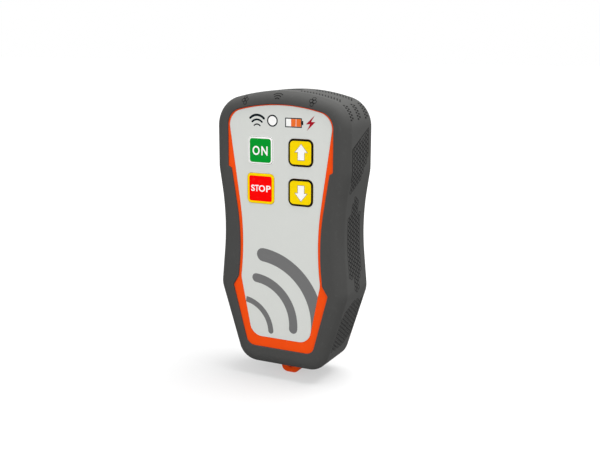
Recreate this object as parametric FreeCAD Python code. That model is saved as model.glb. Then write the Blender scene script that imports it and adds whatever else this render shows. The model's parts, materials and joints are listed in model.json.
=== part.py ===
"""Hand-held crane radio remote: an orange two-part case in a dark rubber bumper.

The remote stands upright as it is held: +X to the operator's right, +Y away from the
operator through the depth, +Z up.  While the pieces are drawn, depths (Y) are measured
from the front panel, where the label lies, and heights (Z) from the bottom of the bumper.
The finished pieces are then moved so that the origin is under the middle of the remote,
at the lowest point of the lanyard lug.  All lengths are in millimetres.
"""
import FreeCAD, Part
import math
import os

# Outline of the bumper, seen from the front: half widths and heights of its corners
BODY_HEIGHT = 148.3
CROWN_SLOPE = 14.5          # degrees, where the crown runs into the shoulders
CROWN_RADIUS = 98.0
SHOULDER_HALF_WIDTH = 38.7
SHOULDER_RADIUS = 15.8
FLANK_HEIGHT = 107.1        # the straight upper flanks end here
FLANK_RADIUS = 20.0
WAIST_HALF_WIDTH = 34.3
WAIST_HEIGHT = 79.1
WAIST_RADIUS = 140.0
HIP_HALF_WIDTH = 37.8
HIP_HEIGHT = 42.8
HIP_RADIUS = 13.0
FOOT_HALF_WIDTH = 24.3
FOOT_RADIUS = 11.5

# Rubber bumper
RIM_HEIGHT = 1.0            # the rim stands this far in front of the panel
NOSE_DEPTH = 5.0            # from the front of the rim back to the crease on the flanks
NOSE_DRAFT = 2.5            # the front of the rim is this much smaller all round
NOSE_ROUND = 6.0
BACK_CHAMFER = 4.1
RUBBER_WALL = 5.5           # as far as the rounded nose needs
RUBBER_BACK = 2.7
BACK_LIP = 13.0             # width of the lip that wraps round onto the back
LIP_CHAMFER = 0.4
FIT_GAP = 0.1               # rubber and case, label and recess

# Window of the bumper, which frames the panel: widths of the rim at its corners
RIM_CROWN = 6.9
RIM_SHOULDER = 8.2
RIM_STEP = 1.9              # the window steps in by this much below the shoulders
RIM_STEP_HEIGHT = 1.1
RIM_WAIST = 11.7
RIM_WAIST_DROP = 8.5        # the window is narrowest this far below the waist
RIM_HIP = 12.8
RIM_HIP_RISE = 5.5
RIM_HIP_STEP = 3.2          # the window widens again by this much at the hips
RIM_HIP_STEP_HEIGHT = 5.1
RIM_FOOT = 4.9
RIM_BOTTOM = 10.3
WINDOW_SHOULDER_RADIUS = 9.0
WINDOW_STEP_RADIUS = 0.9
WINDOW_WAIST_RADIUS = 132.0
WINDOW_HIP_RADIUS = 1.5
WINDOW_FOOT_RADIUS = 5.2

# Label, inside the orange border of the front case
BORDER_CROWN = 0.6
BORDER_WAIST = 1.7
BORDER_HIP = 1.5
BORDER_FOOT = 2.4
BORDER_BOTTOM = 5.7
LABEL_WAIST_RADIUS = 147.0
LABEL_HIP_RADIUS = 8.0
LABEL_FOOT_RADIUS = 7.0
LABEL_THICKNESS = 0.4

# Front and rear case
PARTING_DEPTH = 12.0        # panel to the front of the rear case
CASE_DEPTH = 31.3           # panel to the back of the rear case
CASE_WALL = 2.2
BACK_EDGE_CHAMFER = 1.0
SEAL_THICKNESS = 1.0        # flat seal between the case halves

# Lanyard lug on the rear case
LUG_WIDTH = 10.8
LUG_CORNER = 3.6
LUG_THICKNESS = 5.5
LUG_REACH = 6.9             # below the bottom of the bumper
LUG_SETBACK = 0.6           # behind the front of the rear case
LUG_HOLE_RADIUS = 1.8
LUG_HOLE_DROP = 2.4         # hole centre below the bottom of the bumper
LUG_ROOM = 0.3

# Keys: each has a cap in the label, a flange that keeps it in and a stem to its switch
KEY_MIDDLE = 0.5            # the keys stand this far right of the middle of the remote
KEY_SPACING = 23.4
UPPER_KEY_HEIGHT = 117.3
STOP_KEY_HEIGHT = 97.2
DOWN_KEY_HEIGHT = 96.7
KEY_SIZE = 14.0
STOP_KEY_SIZE = 15.8
PLAIN_KEY_CORNER = 2.2
ARROW_KEY_CORNER = 3.0
KEY_PROUD = 0.35
KEY_EDGE_CHAMFER = 0.25
KEY_SIDE_GAP = 0.2
KEY_TRAVEL = 0.6
KEY_STOP_GAP = 0.15
KEY_FLANGE_WIDTH = 0.9
KEY_FLANGE_THICKNESS = 0.8
KEY_STEM_WIDTH = 4.0

# Push switches on the board
SWITCH_SIZE = 6.2
SWITCH_HEIGHT = 3.6
SWITCH_OVERTRAVEL = 0.2     # left between stem and switch when a key is fully pressed
PLUNGER_WIDTH = 2.8
PLUNGER_GAP = 0.1
PLUNGER_HOLD = 0.8          # length of plunger inside the switch at rest
PLUNGER_END_GAP = 0.4

# Lamps beside the radio sign: a round status lamp and a battery gauge
STATUS_X = -4.2
STATUS_HEIGHT = 133.0
STATUS_RADIUS = 2.4
GAUGE_X = 8.0
GAUGE_HEIGHT = 132.5
GAUGE_WIDTH = 8.6
GAUGE_TALL = 3.9
LENS_GAP = 0.1
LENS_FLANGE_WIDTH = 0.9
LENS_FLANGE_THICKNESS = 0.8
LENS_STEM_INSET = 0.8
LED_AIR = 0.3
LED_WIDTH = 2.4
LED_TALL = 1.6
LED_HEIGHT = 1.1
GAUGE_LED_SPACING = 4.2

# Main board and the parts on its back
BOARD_DEPTH = 9.0           # panel to the front of the board
BOARD_THICKNESS = 1.6
BOARD_WIDTH = 53.0
BOARD_BOTTOM = 35.0
BOARD_SHOULDER = 123.0      # the board narrows above this height, between the bosses
BOARD_CROWN_GAP = 3.0       # inside of the case at the crown to the top of the board
BOARD_HEAD_WIDTH = 33.0
LEDGE_PLACES = ((23.5, 104.8), (18.0, 37.8))    # half spacing and height
LEDGE_SIZE = 4.0
RADIO_WIDTH = 24.0
RADIO_TALL = 18.0
RADIO_THICKNESS = 3.2
RADIO_EDGE_ROUND = 0.8
RADIO_HEIGHT = 119.0
CHIP_SIZE = 10.0
CHIP_THICKNESS = 1.4
CHIP_X = -10.0
CHIP_HEIGHT = 101.0
ANTENNA_LENGTH = 28.0
ANTENNA_WIDTH = 4.0
ANTENNA_RAISE = 5.0
ANTENNA_SHEET = 0.6
ANTENNA_FEED = 5.0          # between the antenna's two legs
ANTENNA_HEIGHT = 134.0

# Battery, its foam, leads and plug
BATTERY_WIDTH = 36.0
BATTERY_TALL = 58.0
BATTERY_THICKNESS = 14.0
BATTERY_HEIGHT = 62.0       # middle of the battery
BATTERY_EDGE_ROUND = 2.0
FOAM_WIDTH = 26.0
FOAM_TALL = 34.0
CRADLE_WALL = 1.4
CRADLE_GAP = 0.25
CRADLE_OVERLAP = 6.0
LEAD_WIDTH = 1.4
LEAD_SPACING = 2.6
LEAD_EDGE = 7.0             # middle of the leads from the battery's right side
LEAD_RISE = 6.0             # from the battery up to the plug
LEAD_SETBACK = 4.0          # behind the front of the battery
PLUG_WIDTH = 7.6
PLUG_TALL = 4.6
PLUG_THICKNESS = 4.0

# Pillars and bosses that meet behind the board: each case screw's head lies in a pocket
SCREW_PLACES = ((20.3, 129.6), (11.0, 21.8))        # half spacing and height
SCREW_POCKET_RADIUS = 3.1
SCREW_POCKET_DEPTH = 2.6
PILLAR_WALL = 1.4           # round the pocket
BOSS_RADIUS = 3.0           # on the front case, opposite each pillar

SMALLEST_RADIUS = 0.5
BEYOND = 1.0                # cutters reach this far past the faces they open

# Depths that follow from the sizes above
RIM_FRONT = -RIM_HEIGHT
CREASE = RIM_FRONT + NOSE_DEPTH
LIP_BACK = -FIT_GAP
BUMPER_BACK = CASE_DEPTH + FIT_GAP + RUBBER_BACK
CASE_INSET = RUBBER_WALL + FIT_GAP
ROOM_INSET = CASE_INSET + CASE_WALL
SEAL_FRONT = PARTING_DEPTH - SEAL_THICKNESS
CASE_ROOM_BACK = CASE_DEPTH - CASE_WALL
BOARD_BACK = BOARD_DEPTH + BOARD_THICKNESS
BOARD_TOP = BODY_HEIGHT - ROOM_INSET - BOARD_CROWN_GAP
FLANGE_FRONT = CASE_WALL + KEY_STOP_GAP
FLANGE_BACK = FLANGE_FRONT + KEY_FLANGE_THICKNESS
SWITCH_FRONT = BOARD_DEPTH - SWITCH_HEIGHT
STEM_END = SWITCH_FRONT - SWITCH_OVERTRAVEL - KEY_TRAVEL
LED_FRONT = BOARD_DEPTH - LED_HEIGHT
BATTERY_FRONT = CASE_ROOM_BACK - BATTERY_THICKNESS
BATTERY_TOP = BATTERY_HEIGHT + BATTERY_TALL / 2
LEAD_X = BATTERY_WIDTH / 2 - LEAD_EDGE
PLUG_HEIGHT = BATTERY_TOP + LEAD_RISE
PLUG_BACK = BOARD_BACK + PLUG_THICKNESS
LUG_FRONT = PARTING_DEPTH + LUG_SETBACK
PILLAR_RADIUS = SCREW_POCKET_RADIUS + PILLAR_WALL

KEYS = {
    "on": (KEY_MIDDLE - KEY_SPACING / 2, UPPER_KEY_HEIGHT, KEY_SIZE, PLAIN_KEY_CORNER),
    "stop": (KEY_MIDDLE - KEY_SPACING / 2, STOP_KEY_HEIGHT, STOP_KEY_SIZE, PLAIN_KEY_CORNER),
    "up": (KEY_MIDDLE + KEY_SPACING / 2, UPPER_KEY_HEIGHT, KEY_SIZE, ARROW_KEY_CORNER),
    "down": (KEY_MIDDLE + KEY_SPACING / 2, DOWN_KEY_HEIGHT, KEY_SIZE, ARROW_KEY_CORNER),
}


def both_sides(right_half):
    """Whole outline from the corners of its right half, listed from the top down."""
    left_half = [(-x, z, radius) for x, z, radius in reversed(right_half) if x > 0]
    return right_half + left_half


def crown_corners(half_width, top, shoulder_radius):
    """Arched top of an outline: its middle corner and the shoulder beside it."""
    slope = math.radians(CROWN_SLOPE)
    peak = top + CROWN_RADIUS * (1 / math.cos(slope) - 1)
    shoulder = peak - half_width * math.tan(slope)
    return [(0, peak, CROWN_RADIUS), (half_width, shoulder, shoulder_radius)]


def body_outline():
    return both_sides(crown_corners(SHOULDER_HALF_WIDTH, BODY_HEIGHT, SHOULDER_RADIUS) + [
        (SHOULDER_HALF_WIDTH, FLANK_HEIGHT, FLANK_RADIUS),
        (WAIST_HALF_WIDTH, WAIST_HEIGHT, WAIST_RADIUS),
        (HIP_HALF_WIDTH, HIP_HEIGHT, HIP_RADIUS),
        (FOOT_HALF_WIDTH, 0, FOOT_RADIUS),
    ])


def window_outline():
    side = SHOULDER_HALF_WIDTH - RIM_SHOULDER
    hip = HIP_HALF_WIDTH - RIM_HIP
    hip_height = HIP_HEIGHT + RIM_HIP_RISE
    return both_sides(crown_corners(side, BODY_HEIGHT - RIM_CROWN, WINDOW_SHOULDER_RADIUS) + [
        (side, FLANK_HEIGHT + RIM_STEP_HEIGHT, WINDOW_STEP_RADIUS),
        (side - RIM_STEP, FLANK_HEIGHT, WINDOW_STEP_RADIUS),
        (WAIST_HALF_WIDTH - RIM_WAIST, WAIST_HEIGHT - RIM_WAIST_DROP, WINDOW_WAIST_RADIUS),
        (hip, hip_height, WINDOW_HIP_RADIUS),
        (hip + RIM_HIP_STEP, hip_height - RIM_HIP_STEP_HEIGHT, WINDOW_HIP_RADIUS),
        (FOOT_HALF_WIDTH - RIM_FOOT, RIM_BOTTOM, WINDOW_FOOT_RADIUS),
    ])


def label_outline():
    # Its slanted sides start at the corners of the window
    side = SHOULDER_HALF_WIDTH - RIM_SHOULDER
    top = BODY_HEIGHT - RIM_CROWN - BORDER_CROWN
    return both_sides(crown_corners(side, top, WINDOW_SHOULDER_RADIUS) + [
        (WAIST_HALF_WIDTH - RIM_WAIST - BORDER_WAIST, WAIST_HEIGHT - RIM_WAIST_DROP, LABEL_WAIST_RADIUS),
        (HIP_HALF_WIDTH - RIM_HIP - BORDER_HIP, HIP_HEIGHT + RIM_HIP_RISE, LABEL_HIP_RADIUS),
        (FOOT_HALF_WIDTH - RIM_FOOT - BORDER_FOOT, RIM_BOTTOM + BORDER_BOTTOM, LABEL_FOOT_RADIUS),
    ])


def rectangle(x, z, width, tall, radius):
    right, left = x + width / 2, x - width / 2
    top, bottom = z + tall / 2, z - tall / 2
    return [(right, top, radius), (right, bottom, radius), (left, bottom, radius), (left, top, radius)]


def flat(x, z):
    """Point of an outline, as a vector in the plane of the front panel."""
    return FreeCAD.Vector(x, 0, z)


def parallel(corners, inset):
    """Corners of an outline (clockwise from the front) moved inwards by inset all round."""
    count = len(corners)
    points = [flat(x, z) for x, z, _ in corners]
    runs = [(points[(i + 1) % count] - points[i]).normalize() for i in range(count)]
    moved = []
    for i in range(count):
        before, after = runs[i - 1], runs[i]
        radius = corners[i][2]
        turn = before.z * after.x - before.x * after.z
        inward = flat(before.z, -before.x) + flat(after.z, -after.x)
        share = inset / (1 + before.dot(after))
        corner = points[i] + inward * share
        new_radius = radius - inset if turn > 0 else radius + inset
        moved.append((corner.x, corner.z, max(new_radius, SMALLEST_RADIUS)))
    return moved


def outline_wire(corners, depth, inset=0.0):
    """Closed wire of straight runs joined by tangent arcs, one arc to a corner."""
    if inset:
        corners = parallel(corners, inset)
    count = len(corners)
    points = [flat(x, z) for x, z, _ in corners]
    lengths = [(points[(i + 1) % count] - points[i]).Length for i in range(count)]
    runs = [(points[(i + 1) % count] - points[i]).normalize() for i in range(count)]
    half_turns = [runs[i - 1].getAngle(runs[i]) / 2 for i in range(count)]
    tangents = [corners[i][2] * math.tan(half_turns[i]) for i in range(count)]
    # An arc takes no more of its two runs than its neighbours leave
    shares = [min(1.0, 0.99 * lengths[i] / (tangents[i] + tangents[(i + 1) % count])) for i in range(count)]
    edges = []
    starts = []
    ends = []
    for i in range(count):
        tangent = tangents[i] * min(shares[i - 1], shares[i])
        start = points[i] - runs[i - 1] * tangent
        end = points[i] + runs[i] * tangent
        radius = tangent / math.tan(half_turns[i])
        to_centre = (runs[i] - runs[i - 1]).normalize()
        middle = points[i] + to_centre * (radius / math.cos(half_turns[i]) - radius)
        edges.append(Part.Arc(start, middle, end).toShape())
        starts.append(start)
        ends.append(end)
    for i in range(count):
        edges.append(Part.LineSegment(ends[i], starts[(i + 1) % count]).toShape())
    wire = Part.Wire(Part.__sortEdges__(edges))
    wire.translate(FreeCAD.Vector(0, depth, 0))
    return wire


def slab(corners, front, back, inset=0.0):
    """Straight-sided solid with the given outline, between two depths."""
    face = Part.Face(outline_wire(corners, front, inset))
    return face.extrude(FreeCAD.Vector(0, back - front, 0))


def rod(x, z, radius, front, back):
    start = FreeCAD.Vector(x, front, z)
    return Part.makeCylinder(radius, back - front, start, FreeCAD.Vector(0, 1, 0))


def block(x, z, width, tall, front, back):
    start = FreeCAD.Vector(x - width / 2, front, z - tall / 2)
    return Part.makeBox(width, back - front, tall, start)


def edges_at(shape, depth):
    """Edges of a shape that lie wholly at one depth."""
    return [e for e in shape.Edges
            if abs(e.BoundBox.YMin - depth) < 1e-4 and abs(e.BoundBox.YMax - depth) < 1e-4]


def all_places(places):
    """Right and left places from half spacings and heights."""
    return [(side * x, z) for x, z in places for side in (1, -1)]


def make_rubber_bumper():
    """One moulding: drafted nose, straight flanks, a stepped window and a lip on the back."""
    outline = body_outline()
    flanks = slab(outline, CREASE, BUMPER_BACK)
    nose = Part.makeLoft([outline_wire(outline, RIM_FRONT, NOSE_DRAFT), outline_wire(outline, CREASE)], True, True)
    bumper = flanks.fuse(nose)
    bumper = bumper.makeFillet(NOSE_ROUND, edges_at(bumper, RIM_FRONT))
    bumper = bumper.makeChamfer(BACK_CHAMFER, edges_at(bumper, BUMPER_BACK))
    case_room = slab(outline, LIP_BACK, CASE_DEPTH + FIT_GAP, RUBBER_WALL)
    window = slab(window_outline(), RIM_FRONT - BEYOND, LIP_BACK + BEYOND)
    back_opening = slab(outline, CASE_DEPTH - BEYOND, BUMPER_BACK + BEYOND, BACK_LIP)
    lug_slot = block(0, 0, LUG_WIDTH + 2 * LUG_ROOM, 2 * (RUBBER_WALL + BEYOND),
                     LUG_FRONT - LUG_ROOM, LUG_FRONT + LUG_THICKNESS + LUG_ROOM)
    bumper = bumper.cut([case_room, window, back_opening, lug_slot])
    rim = [face for face in bumper.Faces
           if abs(face.BoundBox.YMin - RIM_FRONT) < 1e-4 and abs(face.BoundBox.YMax - RIM_FRONT) < 1e-4][0]
    window_wire = min(rim.Wires, key=lambda wire: wire.BoundBox.XLength)
    return bumper.makeChamfer(LIP_CHAMFER, window_wire.Edges)


def lens_openings(front, back):
    """Cutters for the round status lamp and the battery gauge."""
    return [rod(STATUS_X, STATUS_HEIGHT, STATUS_RADIUS + LENS_GAP, front, back),
            block(GAUGE_X, GAUGE_HEIGHT, GAUGE_WIDTH + 2 * LENS_GAP, GAUGE_TALL + 2 * LENS_GAP, front, back)]


def make_front_case():
    outline = body_outline()
    case = slab(outline, 0, SEAL_FRONT, CASE_INSET)
    case = case.cut(slab(outline, CASE_WALL, SEAL_FRONT + BEYOND, ROOM_INSET))
    bosses = [rod(x, z, BOSS_RADIUS, CASE_WALL, PARTING_DEPTH) for x, z in all_places(SCREW_PLACES)]
    ledges = [block(x, z, LEDGE_SIZE, LEDGE_SIZE, CASE_WALL, BOARD_DEPTH) for x, z in all_places(LEDGE_PLACES)]
    case = case.fuse(bosses + ledges).removeSplitter()
    recess = slab(label_outline(), -BEYOND, LABEL_THICKNESS, -FIT_GAP)
    # The corners of the key openings are square here, behind the label
    openings = [block(x, z, size + 2 * KEY_SIDE_GAP, size + 2 * KEY_SIDE_GAP, -BEYOND, CASE_WALL + BEYOND)
                for x, z, size, _ in KEYS.values()]
    openings += lens_openings(-BEYOND, CASE_WALL + BEYOND)
    return case.cut([recess] + openings)


def make_rear_case():
    """Deep tray with screw pillars, a cradle for the battery and the lanyard lug below."""
    outline = body_outline()
    case = slab(outline, PARTING_DEPTH, CASE_DEPTH, CASE_INSET)
    case = case.makeChamfer(BACK_EDGE_CHAMFER, edges_at(case, CASE_DEPTH))
    case = case.cut(slab(outline, PARTING_DEPTH - BEYOND, CASE_ROOM_BACK, ROOM_INSET))
    pillars = [rod(x, z, PILLAR_RADIUS, PARTING_DEPTH, CASE_ROOM_BACK) for x, z in all_places(SCREW_PLACES)]
    cradle_front = CASE_ROOM_BACK - CRADLE_OVERLAP
    inside = 2 * CRADLE_GAP
    outside = inside + 2 * CRADLE_WALL
    cradle = block(0, BATTERY_HEIGHT, BATTERY_WIDTH + outside, BATTERY_TALL + outside, cradle_front, CASE_ROOM_BACK)
    cradle = cradle.cut(block(0, BATTERY_HEIGHT, BATTERY_WIDTH + inside, BATTERY_TALL + inside,
                              cradle_front - BEYOND, CASE_ROOM_BACK))
    lug_top = CASE_INSET + CASE_WALL / 2
    lug = [(LUG_WIDTH / 2, lug_top, SMALLEST_RADIUS), (LUG_WIDTH / 2, -LUG_REACH, LUG_CORNER),
           (-LUG_WIDTH / 2, -LUG_REACH, LUG_CORNER), (-LUG_WIDTH / 2, lug_top, SMALLEST_RADIUS)]
    lug = slab(lug, LUG_FRONT, LUG_FRONT + LUG_THICKNESS)
    case = case.fuse(pillars + [cradle, lug]).removeSplitter()
    cuts = [rod(0, -LUG_HOLE_DROP, LUG_HOLE_RADIUS, LUG_FRONT - BEYOND, LUG_FRONT + LUG_THICKNESS + BEYOND)]
    cuts += [rod(x, z, SCREW_POCKET_RADIUS, CASE_DEPTH - SCREW_POCKET_DEPTH, CASE_DEPTH + BEYOND)
             for x, z in all_places(SCREW_PLACES)]
    return case.cut(cuts)


def make_case_seal():
    outline = body_outline()
    seal = slab(outline, SEAL_FRONT, PARTING_DEPTH, CASE_INSET)
    return seal.cut(slab(outline, SEAL_FRONT - BEYOND, PARTING_DEPTH + BEYOND, ROOM_INSET))


def make_front_label():
    front, back = -BEYOND, LABEL_THICKNESS + BEYOND
    openings = [slab(rectangle(x, z, size, size, corner), front, back, -KEY_SIDE_GAP)
                for x, z, size, corner in KEYS.values()]
    return slab(label_outline(), 0, LABEL_THICKNESS).cut(openings + lens_openings(front, back))


def make_key(x, z, size, corner):
    cap = slab(rectangle(x, z, size, size, corner), -KEY_PROUD, FLANGE_FRONT)
    cap = cap.makeChamfer(KEY_EDGE_CHAMFER, edges_at(cap, -KEY_PROUD))
    flange_size = size + 2 * KEY_FLANGE_WIDTH
    flange = block(x, z, flange_size, flange_size, FLANGE_FRONT, FLANGE_BACK)
    stem = block(x, z, KEY_STEM_WIDTH, KEY_STEM_WIDTH, FLANGE_BACK, STEM_END)
    return cap.fuse([flange, stem])


def make_plunger(x, z):
    return block(x, z, PLUNGER_WIDTH, PLUNGER_WIDTH, STEM_END, SWITCH_FRONT + PLUNGER_HOLD)


def make_switch(x, z):
    body = block(x, z, SWITCH_SIZE, SWITCH_SIZE, SWITCH_FRONT, BOARD_DEPTH)
    bore_width = PLUNGER_WIDTH + 2 * PLUNGER_GAP
    bore_end = SWITCH_FRONT + PLUNGER_HOLD + KEY_TRAVEL + PLUNGER_END_GAP
    return body.cut(block(x, z, bore_width, bore_width, SWITCH_FRONT - BEYOND, bore_end))


def add_light_guide(window, x, z, width, tall):
    """A lens: its window flush with the label, a flange behind the panel, a guide to the lamp."""
    flange_back = CASE_WALL + LENS_FLANGE_THICKNESS
    flange = block(x, z, width + 2 * LENS_FLANGE_WIDTH, tall + 2 * LENS_FLANGE_WIDTH, CASE_WALL, flange_back)
    guide = block(x, z, width - 2 * LENS_STEM_INSET, tall - 2 * LENS_STEM_INSET, flange_back, LED_FRONT - LED_AIR)
    return window.fuse([flange, guide])


def make_status_lens():
    window = rod(STATUS_X, STATUS_HEIGHT, STATUS_RADIUS, 0, CASE_WALL)
    return add_light_guide(window, STATUS_X, STATUS_HEIGHT, 2 * STATUS_RADIUS, 2 * STATUS_RADIUS)


def make_gauge_lens():
    window = block(GAUGE_X, GAUGE_HEIGHT, GAUGE_WIDTH, GAUGE_TALL, 0, CASE_WALL)
    return add_light_guide(window, GAUGE_X, GAUGE_HEIGHT, GAUGE_WIDTH, GAUGE_TALL)


def make_led(x, z):
    return block(x, z, LED_WIDTH, LED_TALL, LED_FRONT, BOARD_DEPTH)


def make_main_board():
    """T-shaped board: its narrow head reaches up between the upper bosses."""
    wide, narrow = BOARD_WIDTH / 2, BOARD_HEAD_WIDTH / 2
    corners = [(narrow, BOARD_TOP), (narrow, BOARD_SHOULDER), (wide, BOARD_SHOULDER), (wide, BOARD_BOTTOM)]
    corners += [(-x, z) for x, z in reversed(corners)]
    points = [FreeCAD.Vector(x, BOARD_DEPTH, z) for x, z in corners + corners[:1]]
    return Part.Face(Part.makePolygon(points)).extrude(FreeCAD.Vector(0, BOARD_THICKNESS, 0))


def make_radio_module():
    can = block(0, RADIO_HEIGHT, RADIO_WIDTH, RADIO_TALL, BOARD_BACK, BOARD_BACK + RADIO_THICKNESS)
    return can.makeFillet(RADIO_EDGE_ROUND, edges_at(can, BOARD_BACK + RADIO_THICKNESS))


def make_antenna():
    """Folded metal strip above the board, with an earthed leg at its end and a feed leg."""
    raised = BOARD_BACK + ANTENNA_RAISE
    strip = block(0, ANTENNA_HEIGHT, ANTENNA_LENGTH, ANTENNA_WIDTH, raised, raised + ANTENNA_SHEET)
    end = (ANTENNA_SHEET - ANTENNA_LENGTH) / 2
    legs = [block(x, ANTENNA_HEIGHT, ANTENNA_SHEET, ANTENNA_WIDTH, BOARD_BACK, raised)
            for x in (end, end + ANTENNA_FEED)]
    return strip.fuse(legs)


def make_battery_pack():
    pack = block(0, BATTERY_HEIGHT, BATTERY_WIDTH, BATTERY_TALL, BATTERY_FRONT, CASE_ROOM_BACK)
    upright = [e for e in pack.Edges if e.BoundBox.YLength < 1e-4 and e.BoundBox.ZLength > 1]
    return pack.makeFillet(BATTERY_EDGE_ROUND, upright)


def make_battery_leads():
    """Two short flat wires from the top of the battery, turned forward into the plug."""
    half = LEAD_WIDTH / 2
    depth = BATTERY_FRONT + LEAD_SETBACK
    profile = [(depth + half, BATTERY_TOP), (depth + half, PLUG_HEIGHT + half), (PLUG_BACK, PLUG_HEIGHT + half),
               (PLUG_BACK, PLUG_HEIGHT - half), (depth - half, PLUG_HEIGHT - half), (depth - half, BATTERY_TOP)]
    leads = []
    for side in (-1, 1):
        x = LEAD_X + side * LEAD_SPACING / 2 - half
        points = [FreeCAD.Vector(x, y, z) for y, z in profile + profile[:1]]
        leads.append(Part.Face(Part.makePolygon(points)).extrude(FreeCAD.Vector(LEAD_WIDTH, 0, 0)))
    return Part.makeCompound(leads)


def make_battery_plug():
    return block(LEAD_X, PLUG_HEIGHT, PLUG_WIDTH, PLUG_TALL, BOARD_BACK, PLUG_BACK)


def make_pieces():
    pieces = {
        "rubber_bumper": make_rubber_bumper(),
        "front_case": make_front_case(),
        "rear_case": make_rear_case(),
        "case_seal": make_case_seal(),
        "front_label": make_front_label(),
        "status_lens": make_status_lens(),
        "battery_gauge_lens": make_gauge_lens(),
        "status_led": make_led(STATUS_X, STATUS_HEIGHT),
        "gauge_leds": Part.makeCompound([make_led(GAUGE_X + side * GAUGE_LED_SPACING / 2, GAUGE_HEIGHT)
                                         for side in (-1, 1)]),
        "main_board": make_main_board(),
        "radio_module": make_radio_module(),
        "processor_chip": block(CHIP_X, CHIP_HEIGHT, CHIP_SIZE, CHIP_SIZE, BOARD_BACK, BOARD_BACK + CHIP_THICKNESS),
        "antenna": make_antenna(),
        "battery_pack": make_battery_pack(),
        "battery_foam": block(0, BATTERY_HEIGHT, FOAM_WIDTH, FOAM_TALL, BOARD_BACK, BATTERY_FRONT),
        "battery_leads": make_battery_leads(),
        "battery_plug": make_battery_plug(),
    }
    for name, (x, z, size, corner) in KEYS.items():
        pieces["key_" + name] = make_key(x, z, size, corner)
        pieces["plunger_" + name] = make_plunger(x, z)
        pieces["switch_" + name] = make_switch(x, z)
    return pieces


os.makedirs("parts", exist_ok=True)
to_origin = FreeCAD.Vector(0, -(RIM_FRONT + BUMPER_BACK) / 2, LUG_REACH)
for node, shape in make_pieces().items():
    shape.translate(to_origin)
    shape.exportStep("parts/" + node + ".step")
    box = shape.BoundBox
    print(f"{node:20s} solids {len(shape.Solids)} valid {shape.isValid()} volume {shape.Volume:9.1f}"
          f"  {box.XLength:6.1f} x {box.YLength:6.1f} x {box.ZLength:6.1f}")
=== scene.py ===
# %% [markdown]
# # A hand-held crane remote in its rubber bumper
#
# The solids of this remote come from a CAD frame: an orange case with keys, lamps and a circuit board,
# held in a dark rubber sleeve. This lesson dresses them. It gives every solid a finish, makes the sleeve
# again with soft edges and a grip relief, and adds the printed signs, the key frames and the screw heads.

import json
import math

import bmesh
import bpy
import numpy as np
from mathutils import Matrix, Vector

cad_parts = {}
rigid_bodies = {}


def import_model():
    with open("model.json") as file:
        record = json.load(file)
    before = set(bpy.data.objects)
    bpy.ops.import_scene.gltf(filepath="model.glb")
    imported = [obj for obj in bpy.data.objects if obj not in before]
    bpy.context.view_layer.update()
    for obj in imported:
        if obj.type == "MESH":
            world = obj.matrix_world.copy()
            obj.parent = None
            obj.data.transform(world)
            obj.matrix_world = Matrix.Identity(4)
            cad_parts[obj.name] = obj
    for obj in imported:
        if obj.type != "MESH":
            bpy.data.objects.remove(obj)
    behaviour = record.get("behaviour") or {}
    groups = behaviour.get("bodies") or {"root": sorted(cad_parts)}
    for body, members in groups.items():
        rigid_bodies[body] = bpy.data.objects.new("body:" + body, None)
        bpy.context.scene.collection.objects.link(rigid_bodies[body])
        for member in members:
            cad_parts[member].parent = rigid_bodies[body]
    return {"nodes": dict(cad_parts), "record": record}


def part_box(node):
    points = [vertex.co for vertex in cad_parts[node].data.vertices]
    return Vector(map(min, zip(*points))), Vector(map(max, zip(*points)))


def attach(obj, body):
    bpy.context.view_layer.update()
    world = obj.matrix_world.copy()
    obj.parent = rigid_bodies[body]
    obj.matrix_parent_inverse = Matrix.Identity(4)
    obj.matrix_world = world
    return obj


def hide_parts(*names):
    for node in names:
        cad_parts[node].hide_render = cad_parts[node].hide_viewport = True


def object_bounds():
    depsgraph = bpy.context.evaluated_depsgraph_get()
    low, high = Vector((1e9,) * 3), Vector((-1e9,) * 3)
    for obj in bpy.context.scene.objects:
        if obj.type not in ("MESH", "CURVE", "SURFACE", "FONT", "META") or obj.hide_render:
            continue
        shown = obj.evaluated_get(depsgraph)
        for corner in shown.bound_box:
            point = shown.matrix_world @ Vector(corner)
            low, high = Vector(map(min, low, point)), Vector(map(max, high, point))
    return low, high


for leftover in list(bpy.data.objects):
    bpy.data.objects.remove(leftover)
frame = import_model()
cad_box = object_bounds()
solids = frame["nodes"]
print(len(solids), "solids in a box of", [round(1000 * side, 1) for side in cad_box[1] - cad_box[0]], "mm")

# %% [markdown]
# The remote is easiest to describe as its maker would: millimetres to the right of the middle, behind
# the printed label, and above the bottom of the bumper. One function turns such a place into Blender's
# metres, and it reads its two starting points from the solids, so that nothing has to be fitted by eye.

# %% Millimetres on the remote
MM = 0.001
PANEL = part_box("front_label")[0].y
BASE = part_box("rubber_bumper")[0].z


def at(x, depth, height):
    """Point in metres: x from the middle, depth behind the label, height above the bumper's bottom."""
    return Vector((x * MM, PANEL + depth * MM, BASE + height * MM))


print("label face at y", round(PANEL, 5), "and bumper bottom at z", round(BASE, 5))

# %% [markdown]
# The camera stands to the right of the remote and a little above it. It could be aimed with a constraint,
# but three plain turns, applied to a camera that looks straight ahead, say more clearly how it is held.

# %% Camera
CAMERA_PLACE = (0.21673, -0.42906, 0.18116)
CAMERA_TURN = 26.412
CAMERA_TILT = 11.594
CAMERA_ROLL = 0.179
CAMERA_LENS = 54.4
CAMERA_NEAR = 0.01


def turned(axis, degrees):
    return Matrix.Rotation(math.radians(degrees), 4, axis)


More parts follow.
